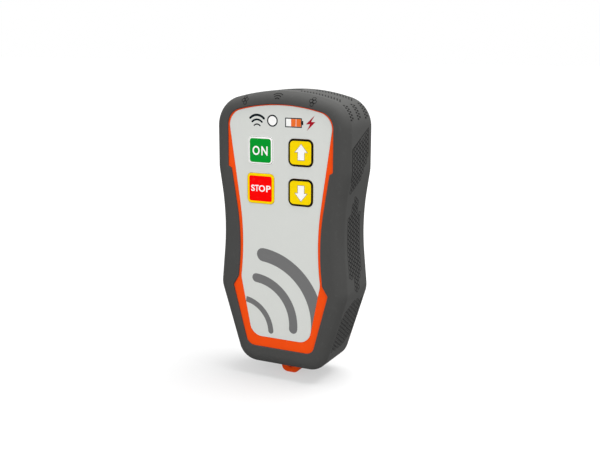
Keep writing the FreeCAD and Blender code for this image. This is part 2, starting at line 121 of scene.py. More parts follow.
camera = bpy.data.objects.new("camera", bpy.data.cameras.new("camera"))
camera.data.lens = CAMERA_LENS
camera.data.clip_start = CAMERA_NEAR
camera.matrix_world = (Matrix.Translation(CAMERA_PLACE) @ turned("Z", CAMERA_TURN)
                       @ turned("X", 90 - CAMERA_TILT) @ turned("Z", CAMERA_ROLL))
bpy.context.scene.collection.objects.link(camera)
bpy.context.scene.camera = camera
print("camera", round(camera.location.length, 3), "m from the origin")

# %% [markdown]
# A material is a small sum of noises and colours. Drawing it as nodes by hand takes many lines, so this
# class wraps a socket: adding or multiplying wires adds the Math node, and one method adds every other
# node.

# %% A wire that does sums
class Wire:
    """A socket in a node tree that Python's own operators can use."""

    def __init__(self, tree, socket=None):
        self.tree = tree
        self.socket = socket

    def node(self, kind, settings, sockets, output=0):
        """Adds a node, applies its settings, fills its sockets and gives a wire from one output."""
        added = self.tree.nodes.new(kind)
        for name, value in settings.items():
            setattr(added, name, value)
        for name, value in sockets.items():
            if isinstance(value, Wire):
                self.tree.links.new(value.socket, added.inputs[name])
            else:
                added.inputs[name].default_value = value
        return Wire(self.tree, added.outputs[output])

    def maths(self, operation, other):
        return self.node("ShaderNodeMath", {"operation": operation}, {0: self, 1: other})

    def __add__(self, other):
        return self.maths("ADD", other)

    def __mul__(self, other):
        return self.maths("MULTIPLY", other)

    __radd__ = __add__
    __rmul__ = __mul__

    def blend(self, dark, light):
        """Colour between two others, with this wire as the share of the second."""
        # A Mix node takes its colours at sockets 6 and 7 and gives their mix at output 2
        return self.node("ShaderNodeMix", {"data_type": "RGBA"}, {0: self, 6: dark, 7: light}, 2)

    def between(self, low, high):
        """This wire stretched so that low becomes 0 and high becomes 1, and cut off there."""
        return self.node("ShaderNodeMapRange", {}, {"Value": self, "From Min": low, "From Max": high})

    def feed(self, shader, socket):
        self.tree.links.new(self.socket, shader.inputs[socket])


print("wires add, multiply, blend and stretch")

# %% [markdown]
# Every finish on the remote starts the same way: a base colour that is a little uneven, a roughness that
# follows it, and a grain that catches the light. Noise in object space needs no unwrapping and keeps its
# size in millimetres on every piece, so it was chosen over painted textures.

# %% Start of a finish
def screen_colour(red, green, blue):
    """Scene colour for a colour read from a screen in 0 to 255, by the usual curve of screens."""
    scaled = [value / 255 for value in (red, green, blue)]
    return [v / 12.92 if v <= 0.04045 else ((v + 0.055) / 1.055) ** 2.4 for v in scaled] + [1.0]


def shaded(colour, factor):
    return [min(1.0, channel * factor) for channel in colour[:3]] + [1.0]


def bare_finish(name, constants):
    """New material with its constants set: the material, its shader and a wire of object coordinates."""
    material = bpy.data.materials.new(name)
    material.use_nodes = True
    shader = material.node_tree.nodes["Principled BSDF"]
    for socket, value in constants.items():
        shader.inputs[socket].default_value = value
    place = Wire(material.node_tree).node("ShaderNodeTexCoord", {}, {}, "Object")
    return material, shader, place


def noise(place, size, detail=2.0):
    """Noise from 0 to 1 with lumps of a size in mm."""
    sockets = {"Vector": place, "Scale": 1 / (size * MM), "Detail": detail}
    return place.node("ShaderNodeTexNoise", {}, sockets, "Fac")


def bump(height, depth):
    """Normals of a surface whose grain is a depth in mm from its valleys to its crests."""
    return height.node("ShaderNodeBump", {}, {"Height": height, "Distance": depth * MM, "Strength": 1.0})


print("white on a screen is", screen_colour(255, 255, 255), "in the scene")

# %% [markdown]
# Moulded plastic, rubber, printed film and ink are all one colour with a fine grain, and differ in the
# size of the grain, its depth and the gloss. One function makes them all: broad clouds shift the colour,
# and sparse rub marks, which are the crests of a finer noise, turn it a little paler and rougher, as
# handling does.

# %% Moulded and printed finishes
CLOUD = 9.0
CLOUD_DETAIL = 3.0
CLOUD_ROUGHNESS = 0.1
RUB = 2.2
RUB_DETAIL = 5.0
RUB_CRESTS = (0.6, 0.8)
RUB_SHARE = 0.5
RUB_PALER = 0.02
RUB_ROUGHNESS = 0.08


def moulded(name, colour, roughness, grain, depth, uneven=0.05, rubbed=0.06, **constants):
    """One colour with grain of a size and depth in mm, clouds in its colour and faint rub marks."""
    sockets = {socket.replace("_", " "): value for socket, value in constants.items()}
    material, shader, place = bare_finish(name, sockets)
    clouds = noise(place, CLOUD, CLOUD_DETAIL)
    marks = noise(place, RUB, RUB_DETAIL).between(*RUB_CRESTS)
    plain = clouds.blend(shaded(colour, 1 - uneven), shaded(colour, 1 + uneven))
    marks_colour = shaded([channel + RUB_PALER for channel in colour[:3]], 1 + rubbed)
    (RUB_SHARE * marks).blend(plain, marks_colour).feed(shader, "Base Color")
    smoothest = roughness - CLOUD_ROUGHNESS / 2
    (smoothest + CLOUD_ROUGHNESS * clouds + RUB_ROUGHNESS * marks).feed(shader, "Roughness")
    bump(noise(place, grain), depth).feed(shader, "Normal")
    return material


matt = {"Specular_IOR_Level": 0.04}
rubber = moulded("bumper_rubber", screen_colour(72, 72, 71), 0.65, 0.35, 0.012, **matt)
# Far darker than the sleeve: painted shade that stands in for the shade in the grooves of the pattern
relief_rubber_painted_shade = moulded("relief_rubber_painted_shade", screen_colour(26, 26, 26), 0.7, 0.3, 0.012, **matt)
orange = moulded("case_orange", screen_colour(241, 78, 18), 0.45, 0.45, 0.01,
                 uneven=0.02, rubbed=0.03, **matt)
film = moulded("label_film", screen_colour(211, 213, 209), 0.5, 0.2, 0.004,
               uneven=0.012, rubbed=0.01, **matt)
print("rubber, relief, orange and film made, with clouds of", CLOUD, "mm and rub marks of", RUB, "mm")

# %% [markdown]
# The inks and key caps are the same kind of surface with a finer grain. Listing them in one table keeps
# their colours together, where they are easy to compare and to change.

# %% Inks and key colours
INK_COLOURS = {
    "white": (248, 247, 246),
    "green": (0, 147, 44),
    "red": (250, 0, 0),
    "yellow": (246, 212, 0),
    "black": (6, 7, 7),
    "dark": (8, 20, 25),
    "grey": (113, 113, 113),
    "cell": (233, 110, 47),
    "bolt": (160, 15, 35),
}
inks = {}
for name, colour in INK_COLOURS.items():
    inks[name] = moulded("ink_" + name, screen_colour(*colour), 0.55, 0.16, 0.003,
                         uneven=0.015, rubbed=0.015, **matt)
print(len(inks), "inks")

# %% [markdown]
# Sheet metal is drawn through rollers, and that leaves fine lines along it. Squeezing the object
# coordinates along one axis before they reach the noise stretches its lumps into such lines. Foam is a
# mass of small cells, and a Voronoi texture is just that.

# %% Rolled metal and foam
ROLLED_SQUEEZE = (0.05, 1.0, 1.0)
ROLLED_LINE = 0.25
ROLLED_DETAIL = 3.0
ROLLED_DEPTH = 0.004
ROLLED_ROUGHNESS = 0.15
FOAM_DEPTH = 0.2


def rolled(name, colour, roughness):
    """Metal with fine lines along X."""
    material, shader, place = bare_finish(name, {"Metallic": 1.0})
    lined = place.node("ShaderNodeMapping", {}, {"Vector": place, "Scale": ROLLED_SQUEEZE})
    lines = noise(lined, ROLLED_LINE, ROLLED_DETAIL)
    lines.blend(shaded(colour, 0.9), shaded(colour, 1.05)).feed(shader, "Base Color")
    (roughness + ROLLED_ROUGHNESS * lines).feed(shader, "Roughness")
    bump(lines, ROLLED_DEPTH).feed(shader, "Normal")
    return material


def foamed(name, colour, cell):
    """Open foam with cells of a size in mm, painted darker towards the bottom of each pit as shade."""
    material, shader, place = bare_finish(name, {"Roughness": 0.95})
    sockets = {"Vector": place, "Scale": 1 / (cell * MM)}
    cells = place.node("ShaderNodeTexVoronoi", {}, sockets, "Distance")
    # Painted shade: the colour follows the depth of the pits and is darkest at their bottoms
    cells.blend(shaded(colour, 0.4), shaded(colour, 1.15)).feed(shader, "Base Color")
    bump(cells, FOAM_DEPTH).feed(shader, "Normal")
    return material


tin = rolled("tinned_sheet", screen_colour(205, 205, 200), 0.3)
screw_steel = rolled("blackened_steel", screen_colour(88, 90, 92), 0.32)
foam = foamed("battery_foam", screen_colour(108, 108, 112), 0.9)
print("metal made with lines of", ROLLED_LINE, "mm, foam with pits of", FOAM_DEPTH, "mm")

# %% [markdown]
# The record names a finish for each solid, so dressing them is a table from those names to materials. The
# lenses are a clear-coated white, and the parts inside the case get their real colours too, although only
# someone who opens the model sees them.

# %% Dress the solids
finishes = {
    "bumper_rubber": rubber,
    "case_orange": orange,
    "label_grey": film,
    "key_green": inks["green"],
    "key_red": inks["red"],
    "key_yellow": inks["yellow"],
    "lens_white": moulded("lens_white", screen_colour(238, 238, 236), 0.2, 0.5, 0.002,
                          uneven=0.01, rubbed=0.01, Coat_Weight=0.4),
    "seal_black": moulded("seal_rubber", screen_colour(38, 38, 38), 0.75, 0.3, 0.015),
    "board_green": moulded("solder_mask", screen_colour(22, 96, 54), 0.35, 0.6, 0.01, uneven=0.12),
    "part_black": moulded("black_package", screen_colour(36, 36, 38), 0.55, 0.25, 0.008),
    "shield_tin": tin,
    "battery_wrap": moulded("battery_wrap", screen_colour(48, 84, 148), 0.3, 3.0, 0.05, Coat_Weight=0.3),
    "foam_grey": foam,
    "lead_red": moulded("lead_insulation", screen_colour(188, 24, 24), 0.5, 0.4, 0.01),
    "plug_white": moulded("plug_nylon", screen_colour(230, 226, 212), 0.5, 0.4, 0.01),
    "led_white": moulded("lamp_package", screen_colour(242, 238, 222), 0.2, 0.4, 0.004, Coat_Weight=0.5),
}
for subpart in frame["record"]["subparts"]:
    data = solids[subpart["node"]].data
    data.materials.clear()
    data.materials.append(finishes[subpart["material_slot"]])

# %% [markdown]
# Nearly every shape here is an outline with rounded corners: the bumper, its window, the label, the keys.
# An outline is a list of corners, each with its place and radius. This cell works out how the path turns
# at each corner, and shortens an arc that would need more of a side than there is.

# %% Corners of an outline
ROOM_SHARE = 0.99


def right_of(heading):
    return Vector((heading.y, -heading.x))


def corner_step(before, after):
    """Step from a corner along the line that halves it, which moves both sides in by 1 mm."""
    first, second = right_of(before), right_of(after)
    return (first + second) / (1 + first.dot(second))


def corner_turns(corners, closed):
    """Headings before and after each corner, the angle between them, and the reach of its arc."""
    places = [Vector(corner[:2]) for corner in corners]
    count = len(places)
    sides = [places[(i + 1) % count] - places[i] for i in range(count)]
    before = [sides[i - 1].normalized() for i in range(count)]
    after = [side.normalized() for side in sides]
    if not closed:
        before[0], after[-1] = after[0], before[-1]
    turns = [math.atan2(old.x * new.y - old.y * new.x, old.dot(new)) for old, new in zip(before, after)]
    reaches = [corner[2] * math.tan(abs(turn) / 2) for corner, turn in zip(corners, turns)]
    rooms = []
    for i, side in enumerate(sides):
        needed = reaches[i] + reaches[(i + 1) % count]
        rooms.append(min(1.0, ROOM_SHARE * side.length / needed) if needed > 0 else 1.0)
    reaches = [reach * min(rooms[i - 1], rooms[i]) for i, reach in enumerate(reaches)]
    return places, before, after, turns, reaches


print("arcs take up to", ROOM_SHARE, "of a side")

# %% [markdown]
# Tracing an outline gives points round the arcs and along the sides. Each point keeps its direction to
# the inside, so a parallel line is only a step along it.

# %% Trace an outline
ARC_STEP = math.radians(6)
LENGTH_STEP = 1.5
SHARP_REACH = 1e-6


def trace(corners, closed=True):
    """Points along a clockwise path of corners (x, height, radius), with their directions inwards."""
    places, before, after, turns, reaches = corner_turns(corners, closed)
    count = len(places)
    samples = []
    for i, place in enumerate(places):
        inside = right_of(before[i])
        if reaches[i] < SHARP_REACH:
            samples.append((place, corner_step(before[i], after[i])))
        else:
            side = -math.copysign(1.0, turns[i])
            radius = reaches[i] / math.tan(abs(turns[i]) / 2)
            centre = place - before[i] * reaches[i] + inside * radius * side
            pieces = math.ceil(abs(turns[i]) * max(1 / ARC_STEP, radius / LENGTH_STEP))
            for piece in range(pieces + 1):
                facing = Matrix.Rotation(turns[i] * piece / pieces, 2) @ inside
                samples.append((centre - facing * radius * side, facing))
        if closed or i < count - 1:
            ahead = (i + 1) % count
            start = place + after[i] * reaches[i]
            run = (places[ahead] - after[i] * reaches[ahead]) - start
            pieces = math.ceil(run.length / LENGTH_STEP)
            samples += [(start + run * piece / pieces, right_of(after[i])) for piece in range(1, pieces)]
    return samples


print("an outline is traced in steps of at most", LENGTH_STEP, "mm")

# %% [markdown]
# A solid is then made from loops of points. `ring` sweeps a small closed section round an outline, which
# gives frames and hexagons; `strip` does the same along an open path; and `plate` fills an outline. All
# three make closed meshes, and a function given to them says on which surface they lie.

# %% Solids from outlines
def ring(mesh, samples, section, place):
    """Sweeps a closed section of (inset, lift) points round traced samples."""
    loops = [[mesh.verts.new(place(*(point + inward * inset), lift)) for inset, lift in section]
             for point, inward in samples]
    for here, ahead in zip(loops, loops[1:] + loops[:1]):
        for i in range(len(section)):
            mesh.faces.new((here[i - 1], here[i], ahead[i], ahead[i - 1]))


def strip(mesh, pairs, low, high, place):
    """Solid between paired points, from one lift over its surface to another."""
    loops = [[mesh.verts.new(place(*point, lift)) for point, lift in
              ((first, low), (first, high), (second, high), (second, low))] for first, second in pairs]
    for here, ahead in zip(loops, loops[1:]):
        for i in range(4):
            mesh.faces.new((here[i - 1], here[i], ahead[i], ahead[i - 1]))
    mesh.faces.new(loops[0])
    mesh.faces.new(loops[-1])


def plate(mesh, points, low, high, place):
    """Solid that fills an outline, from one lift over its surface to another."""
    bottom = [mesh.verts.new(place(*point, low)) for point in points]
    top = [mesh.verts.new(place(*point, high)) for point in points]
    mesh.faces.new(bottom)
    mesh.faces.new(top)
    for i in range(len(points)):
        mesh.faces.new((bottom[i - 1], bottom[i], top[i], top[i - 1]))


def finished(name, mesh, finish, body="handset"):
    """Turns a mesh under construction into a piece with one finish that rides on a body."""
    bmesh.ops.recalc_face_normals(mesh, faces=mesh.faces)
    data = bpy.data.meshes.new(name)
    mesh.to_mesh(data)
    mesh.free()
    data.materials.append(finish)
    made = bpy.data.objects.new(name, data)
    bpy.context.scene.collection.objects.link(made)
    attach(made, body)
    print(name, "has", len(data.polygons), "faces")
    return made


print("rings, strips and plates are ready")

# %% [markdown]
# The bumper is a rubber sleeve with an arched crown, a waist and a narrow foot. Its outline is given by
# the right half and mirrored. The front window has the same arch and steps in below the shoulders and
# above the hips, where the orange case shows beside the label.

# %% Outlines of the bumper
CROWN_SLOPE = math.radians(14.5)
CROWN_RADIUS = 98.0
BODY_HEIGHT = 148.3
BODY_HALF_WIDTH = 38.7
WINDOW_TOP = 141.4
WINDOW_HALF_WIDTH = 30.5
WINDOW_SHOULDER = 9.0
WINDOW_WAIST = 70.6
WINDOW_HIP = 48.3


def both_sides(right_half):
    """Whole outline from the corners of its right half, listed from the top down."""
    return right_half + [(-x, height, radius) for x, height, radius in reversed(right_half) if x > 0]


def crown(half_width, top, shoulder_radius):
    """Arched top of an outline: its middle corner and the shoulder beside it."""
    peak = top + CROWN_RADIUS * (1 / math.cos(CROWN_SLOPE) - 1)
    shoulder = peak - half_width * math.tan(CROWN_SLOPE)
    return [(0.0, peak, CROWN_RADIUS), (half_width, shoulder, shoulder_radius)]


body_corners = both_sides(crown(BODY_HALF_WIDTH, BODY_HEIGHT, 15.8) + [
    (BODY_HALF_WIDTH, 107.1, 20.0), (34.3, 79.1, 140.0), (37.8, 42.8, 13.0), (24.3, 0.0, 11.5)])
window_corners = both_sides(crown(WINDOW_HALF_WIDTH, WINDOW_TOP, WINDOW_SHOULDER) + [
    (WINDOW_HALF_WIDTH, 108.2, 0.9), (28.6, 107.1, 0.9), (22.6, WINDOW_WAIST, 132.0),
    (25.0, WINDOW_HIP, 1.5), (28.2, 43.2, 1.5), (19.4, 10.3, 5.2)])
body = trace(body_corners)
window = trace(window_corners)
print(len(body), "points round the bumper and", len(window), "round its window")

# %% [markdown]
# From front to back the sleeve has a raised rim with a round nose, a soft crease, straight flanks and a
# slanted back edge. That is an open outline too: how far in from the flank, against the depth. The skin
# starts a hair inside the CAD surface, and the crests of the relief come up to it.

# %% Profile of the bumper
RIM_FRONT = -1.0
BACK = 34.1
RELIEF = 0.08
FACE_START = 6.4
BACK_START = 7.4
NOSE_DRAFT = 2.5
BACK_SLANT = 4.1
profile_corners = [
    (FACE_START, RIM_FRONT + RELIEF, 0.0),
    (RELIEF + NOSE_DRAFT, RIM_FRONT + RELIEF, 6.0),
    (RELIEF, 4.0, 3.0),
    (RELIEF, BACK - BACK_SLANT, 1.0),
    (RELIEF + BACK_SLANT, BACK, 1.0),
    (BACK_START, BACK, 0.0),
]
profile = trace(profile_corners, closed=False)
print(len(profile), "points from the rim to the back")

# %% [markdown]
# The back of the sleeve is a lip that is much wider than the corners of the foot are round, so its opening
# can't be a plain step inwards: the corners themselves move along the lines that halve them, and lose
# that much radius.

# %% Opening in the back
BACK_LIP = 13.0
SMALLEST_RADIUS = 0.5


def moved_in(corners, inset):
    """Corners of the parallel outline at a distance inside another one."""
    places, before, after, turns = corner_turns(corners, True)[:4]
    moved = []
    for i, place in enumerate(places):
        shifted = place + corner_step(before[i], after[i]) * inset
        radius = corners[i][2] + math.copysign(inset, turns[i])
        moved.append((shifted.x, shifted.y, max(SMALLEST_RADIUS, radius)))
    return moved


opening = trace(moved_in(body_corners, BACK_LIP))
print(len(opening), "points round the back opening")

# %% [markdown]
# The sleeve will be sewn together from loops of points. Three helpers make its parts: a wall between loops
# of equal length, a flat face between two loops of any length, and the rounded lip of a window.

# %% Walls, faces and lips
LIP_ROUND = 0.4
LIP_STEPS = 4


def loop(mesh, samples, inset, depth):
    """Loop of new points at an inset from traced samples."""
    moved = [point + inward * inset for point, inward in samples]
    return [mesh.verts.new(at(point.x, depth, point.y)) for point in moved]


def wall(mesh, loops):
    """Faces between loops that have the same number of points."""
    for first, second in zip(loops, loops[1:]):
        for i in range(len(first)):
            mesh.faces.new((first[i - 1], first[i], second[i], second[i - 1]))


def flat(mesh, outer, inner):
    """Flat face between two loops of any number of points."""
    edges = []
    for points in (outer, inner):
        for i in range(len(points)):
            pair = (points[i - 1], points[i])
            edges.append(mesh.edges.get(pair) or mesh.edges.new(pair))
    bmesh.ops.triangle_fill(mesh, edges=edges, use_beauty=True)


def lip(mesh, samples, front, back):
    """Loops of a window's wall, with its front edge rounded, from a front depth to a back one."""
    way = math.copysign(LIP_ROUND, back - front)
    loops = []
    for step in range(LIP_STEPS + 1):
        angle = step / LIP_STEPS * math.pi / 2
        inset = -LIP_ROUND * (1 - math.sin(angle))
        loops.append(loop(mesh, samples, inset, front + way * (1 - math.cos(angle))))
    return loops + [loop(mesh, samples, 0.0, back)]


print("lips have a round of", LIP_ROUND, "mm")

# %% [markdown]
# Now the sleeve is made as one closed skin: rings from the rim round the flanks to the back, a rounded lip
# at the window, the room for the case, and flat faces between them. Bridging loops by hand keeps the
# edges exact; a subdivided cage would pull the corners of the window off their places.

# %% Bumper
LIP_BACK = -0.1
ROOM_BACK = 31.4
RUBBER_WALL = 5.5
sleeve = bmesh.new()
skin_loops = [loop(sleeve, body, inset, depth) for (inset, depth), facing in profile]
window_loops = lip(sleeve, window, RIM_FRONT + RELIEF, LIP_BACK)
room_loops = [loop(sleeve, body, RUBBER_WALL, depth) for depth in (LIP_BACK, ROOM_BACK)]
opening_loops = lip(sleeve, opening, BACK, ROOM_BACK)
for loops in (skin_loops, window_loops, room_loops, opening_loops):
    wall(sleeve, loops)
flat(sleeve, skin_loops[0], window_loops[0])
flat(sleeve, room_loops[0], window_loops[-1])
flat(sleeve, room_loops[1], opening_loops[-1])
flat(sleeve, skin_loops[-1], opening_loops[0])
bumper = finished("bumper_sleeve", sleeve, rubber)

# %% [markdown]
# The lanyard lug of the case passes through a slot in the foot of the sleeve. A Boolean cuts it most
# simply. Its result is kept as the mesh, so that nothing is left to be worked out later. Smooth shading
# with sharp edges by angle, and normals weighted by face area, keep the flat faces flat beside the round
# ones.

# %% Slot for the lug
SLOT_HALF_WIDTH = 5.7
SLOT_FRONT = 12.3
SLOT_BACK = 18.4
SLOT_REACH = 6.5
SLEEVE_SHARP = math.radians(38)


def kept_result(made, kind, other, operation):
    """Applies a Boolean with another object, which is then removed."""
    change = made.modifiers.new(kind, "BOOLEAN")
    change.object = other
    change.operation = operation
    change.solver = "EXACT"
    bpy.context.view_layer.update()
    result = bpy.data.meshes.new_from_object(made.evaluated_get(bpy.context.evaluated_depsgraph_get()))
    made.modifiers.remove(change)
    made.data = result
    bpy.data.objects.remove(other)


def rectangle(left, right, low, high):
    """Corners of a rectangle, clockwise from the upper right one."""
    return [(right, high), (right, low), (left, low), (left, high)]


def on_back(x, height, depth):
    return at(x, depth, height)


slot_mesh = bmesh.new()
slot_corners = rectangle(-SLOT_HALF_WIDTH, SLOT_HALF_WIDTH, -SLOT_REACH, SLOT_REACH)
plate(slot_mesh, slot_corners, SLOT_FRONT, SLOT_BACK, on_back)
kept_result(bumper, "slot", finished("slot_cutter", slot_mesh, rubber), "DIFFERENCE")
bumper.data.shade_smooth()
bumper.data.set_sharp_from_angle(angle=SLEEVE_SHARP)
bumper.modifiers.new("normals", "WEIGHTED_NORMAL").keep_sharp = True
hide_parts("rubber_bumper")
print("bumper has", len(bumper.data.polygons), "faces with its slot")

# %% [markdown]
# The grip relief is a honeycomb of thin raised lines on the flanks, with studs on the shoulders and ribs
# on the crown. A texture would look flat at the silhouette, so each of them is a real solid. A place on
# the skin is given by the distance round the outline, the distance along the profile and the lift, and
# every corner of the relief is looked up there, so that it hugs the curves.

# %% Places on the skin
def distances(samples):
    """Distance of each sample from the first one, along the path."""
    steps = [(second[0] - first[0]).length for first, second in zip(samples, samples[1:])]
    return np.concatenate(([0.0], np.cumsum(steps)))


def looked_up(samples, lengths, distance):
    """Point and inward direction at a distance along traced samples."""
    columns = [[point[axis] for point, inward in samples] for axis in (0, 1)]
    columns += [[inward[axis] for point, inward in samples] for axis in (0, 1)]
    values = [float(np.interp(distance, lengths, column)) for column in columns]
    return Vector(values[:2]), Vector(values[2:])


body_lengths = distances(body)
profile_lengths = distances(profile)


def on_skin(along, down, lift):
    """Point over the bumper at a distance along its outline and down its profile from the rim."""
    place, inward = looked_up(body, body_lengths, along)
    (inset, depth), facing = looked_up(profile, profile_lengths, down)
    place = place + inward * (inset - facing.x * lift)
    return at(place.x, depth - facing.y * lift, place.y)


print("outline", round(body_lengths[-1], 1), "mm long, profile", round(profile_lengths[-1], 1), "mm")

# %% [markdown]
# Heights, depths and distances from the middle are easier to read off the remote than distances along its
# skin, so three functions change the first into the second. The left flank mirrors the right one.

# %% From heights and depths to the skin
right_half = [(point, length) for (point, inward), length in zip(body, body_lengths) if point.x >= 0]


def along_at_height(height):
    heights = [-point.y for point, length in right_half]
    return float(np.interp(-height, heights, [length for point, length in right_half]))


def along_at_x(x):
    quarter = len(body) // 4
    places = [point.x for point, inward in body[:quarter]]
    return float(np.interp(x, places, body_lengths[:quarter]))


def down_at(depth):
    return float(np.interp(depth, [point.y for point, inward in profile], profile_lengths))


def on_right(down, along, lift):
    return on_skin(along, down, lift)


def on_left(down, along, lift):
    mirrored = on_skin(along, down, lift)
    mirrored.x = -mirrored.x
    return mirrored


print("the waist is", round(along_at_height(WINDOW_WAIST), 1), "mm along from the middle of the crown")

# %% [markdown]
# A cell of the honeycomb is a hexagonal ring. A patch of cells is a polygon, and a cell is made where its
# middle lies inside it. Keeping the cells as separate thin rings makes a line of double width where two
# meet, as the moulded relief has. A hair of room stays between them, so that no two walls lie in one
# plane, and their feet are sunk a little into the skin.

# %% Honeycomb cells
CELL = 2.3
CELL_GAP = 0.01
SUNK = -0.12


def is_inside(polygon, u, v):
    """Whether a point lies in a polygon, by counting the sides to its right."""
    crossings = 0
    for (u1, v1), (u2, v2) in zip(polygon, polygon[1:] + polygon[:1]):
        if (v1 > v) != (v2 > v) and u < u1 + (v - v1) / (v2 - v1) * (u2 - u1):
            crossings += 1
    return crossings % 2 == 1


def rounded(corners, radius):
    """The same corners, each with a radius."""
    return [(x, y, radius) for x, y in corners]


def trace_corners(corners):
    """The corners of a sharp outline alone, each with its direction to the inside."""
    places, before, after = corner_turns(rounded(corners, 0.0), True)[:3]
    return [(place, corner_step(*headings)) for place, *headings in zip(places, before, after)]


def cell(mesh, u, v, size, line, place):
    """One hexagonal ring whose flat sides face along v."""
    reach = size / math.sqrt(3)
    angles = [math.radians(-60 * number) for number in range(6)]
    corners = [(u + reach * math.cos(angle), v + reach * math.sin(angle)) for angle in angles]
    section = [(CELL_GAP, SUNK), (CELL_GAP, RELIEF), (line, RELIEF), (line, SUNK)]
    ring(mesh, trace_corners(corners), section, place)


def honeycomb(mesh, polygon, line, place):
    """Cells in staggered columns along v, wherever their middle is inside a polygon of (u, v) corners."""
    step = CELL * math.sqrt(3) / 2
    low_u, high_u = min(u for u, v in polygon), max(u for u, v in polygon)
    low_v, high_v = min(v for u, v in polygon), max(v for u, v in polygon)
    for column in range(int((high_u - low_u) / step) + 1):
        for row in range(int((high_v - low_v) / CELL) + 2):
            u = low_u + (column + 0.5) * step
            v = low_v + (row + 0.5 * (column % 2)) * CELL
            if is_inside(polygon, u, v):
                cell(mesh, u, v, CELL, line, place)


print("cells are", CELL, "mm across")

# %% [markdown]
# Each flank has three patches: under the shoulder, at the waist and at the foot, where the lines are finer.
# Their corners are given by depth and height. A thin border line runs along the upper edge of the first
# patch, and it stays a trace lower than the cells so that no two crests lie in one plane.

# %% Patches on the flanks
FLANK_PATCHES = [
    [(25.0, 127.8), (5.9, 119.2), (5.9, 97.4), (11.6, 99.6), (16.2, 102.2), (19.6, 107.6), (25.4, 114.2)],
    [(16.2, 94.4), (11.4, 91.0), (12.4, 85.6), (7.8, 85.0), (8.8, 52.6), (13.2, 51.2), (14.4, 44.2),
     (17.8, 43.8), (19.8, 46.2), (21.4, 52.0), (24.6, 53.0), (23.4, 58.0), (23.4, 80.0), (25.0, 84.8),
     (20.8, 84.2), (19.2, 91.4)],
    [(29.0, 35.8), (15.7, 38.2), (6.9, 32.8), (5.4, 23.5), (5.6, 11.6), (16.2, 11.0), (29.0, 16.0)],
]
PATCH_LINES = (0.22, 0.22, 0.13)
BORDER = [(26.2, 114.6), (25.9, 129.4), (5.0, 119.9), (5.0, 103.0)]
BORDER_LINE = 0.4
BORDER_DROP = 0.01


def on_flank(corners):
    """Corners of (depth, height) as distances down the profile and along the outline."""
    return [(down_at(depth), along_at_height(height)) for depth, height in corners]


border = trace(rounded(on_flank(BORDER), 0.0), closed=False)
border_pairs = [(point, point + inward * BORDER_LINE) for point, inward in border]
relief = bmesh.new()
for side in (on_right, on_left):
    for patch, line in zip(FLANK_PATCHES, PATCH_LINES):
        honeycomb(relief, on_flank(patch), line, side)
    strip(relief, border_pairs, SUNK, RELIEF - BORDER_DROP, side)
print("patches and borders have", len(relief.faces), "faces")

# %% [markdown]
# Each shoulder carries three bands that slant a little, with two staggered rows of studs in each. A stud is
# a short bar across the band, swept over the skin in small steps so that it follows the round shoulder.

# %% Studs on the shoulders
RIB_POINTS = 7
SHOULDER_RANGE = (141.6, 134.4)
# Depth of each band at its upper and its lower end
SHOULDER_BANDS = [(7.2, 5.2), (16.6, 14.3), (26.0, 23.9)]
STUD_ROWS = (0.0, 2.3)
STUD_LENGTH = 1.6
STUD_WIDTH = 0.9
STUD_SPACING = 1.75


def rib(mesh, along, depth, length, width, lean, place):
    """Raised bar round a place on the outline and a depth, leaning to the middle towards the back."""
    steps = np.linspace(along - width / 2, along + width / 2, RIB_POINTS)
    front, back = down_at(depth - length / 2), down_at(depth + length / 2)
    pairs = [((front, step + lean / 2), (back, step - lean / 2)) for step in steps]
    strip(mesh, pairs, SUNK, RELIEF, place)


studs = []
top, bottom = [along_at_height(height) for height in SHOULDER_RANGE]
for upper, lower in SHOULDER_BANDS:
    for row, offset in enumerate(STUD_ROWS):
        for along in np.arange(top + row * STUD_SPACING / 2, bottom, STUD_SPACING):
            studs.append((along, offset + np.interp(along, (top, bottom), (upper, lower))))
for side in (on_right, on_left):
    for along, depth in studs:
        rib(relief, along, depth, STUD_LENGTH, STUD_WIDTH, 0.0, side)
print(len(studs), "studs on each shoulder, from", round(top, 1), "to", round(bottom, 1), "mm along")

# %% [markdown]
# The crown has two rows of leaning ribs on each side and one broad rib in its middle. They are made by the
# same function as the studs. All the relief is one piece, because it is moulded in one with the sleeve. Its
# rubber is far darker than the sleeve's: painted shade that stands in for the shade in its grooves.

# %% Ribs on the crown
# Depth of each row, and where it starts and ends to the right of the middle
CROWN_ROWS = [(10.4, 7.5, 29.6), (24.3, 9.6, 30.3)]
RIB_LENGTH = 5.0
RIB_WIDTH = 0.7
RIB_LEAN = 2.4
RIB_SPACING = 1.7
BROAD_RIB_DEPTH = 18.3
BROAD_RIB_LENGTH = 3.8
BROAD_RIB_WIDTH = 7.4
for side in (on_right, on_left):
    for depth, start_x, end_x in CROWN_ROWS:
        for along in np.arange(along_at_x(start_x), along_at_x(end_x), RIB_SPACING):
            rib(relief, along, depth, RIB_LENGTH, RIB_WIDTH, RIB_LEAN, side)
rib(relief, along_at_x(0.0), BROAD_RIB_DEPTH, BROAD_RIB_LENGTH, BROAD_RIB_WIDTH, 0.0, on_right)
finished("grip_relief", relief, relief_rubber_painted_shade)

# %% [markdown]
# The remote shows a sign of radio waves twice: moulded on its nose and printed on its label. The waves are
# strips along arcs, and their ends are rounded by letting the strip narrow. One list keeps the arcs for
# both signs: how far the middle of each lies above that of the smallest one, its radius and half of its
# angle.

# %% Arcs and radio waves
ARC_PIECES = 32
END_ANGLES = (85, 70, 50, 25)
WAVES = [(0.0, 2.36, 48.0), (0.81, 3.96, 46.0), (1.56, 5.58, 46.0)]


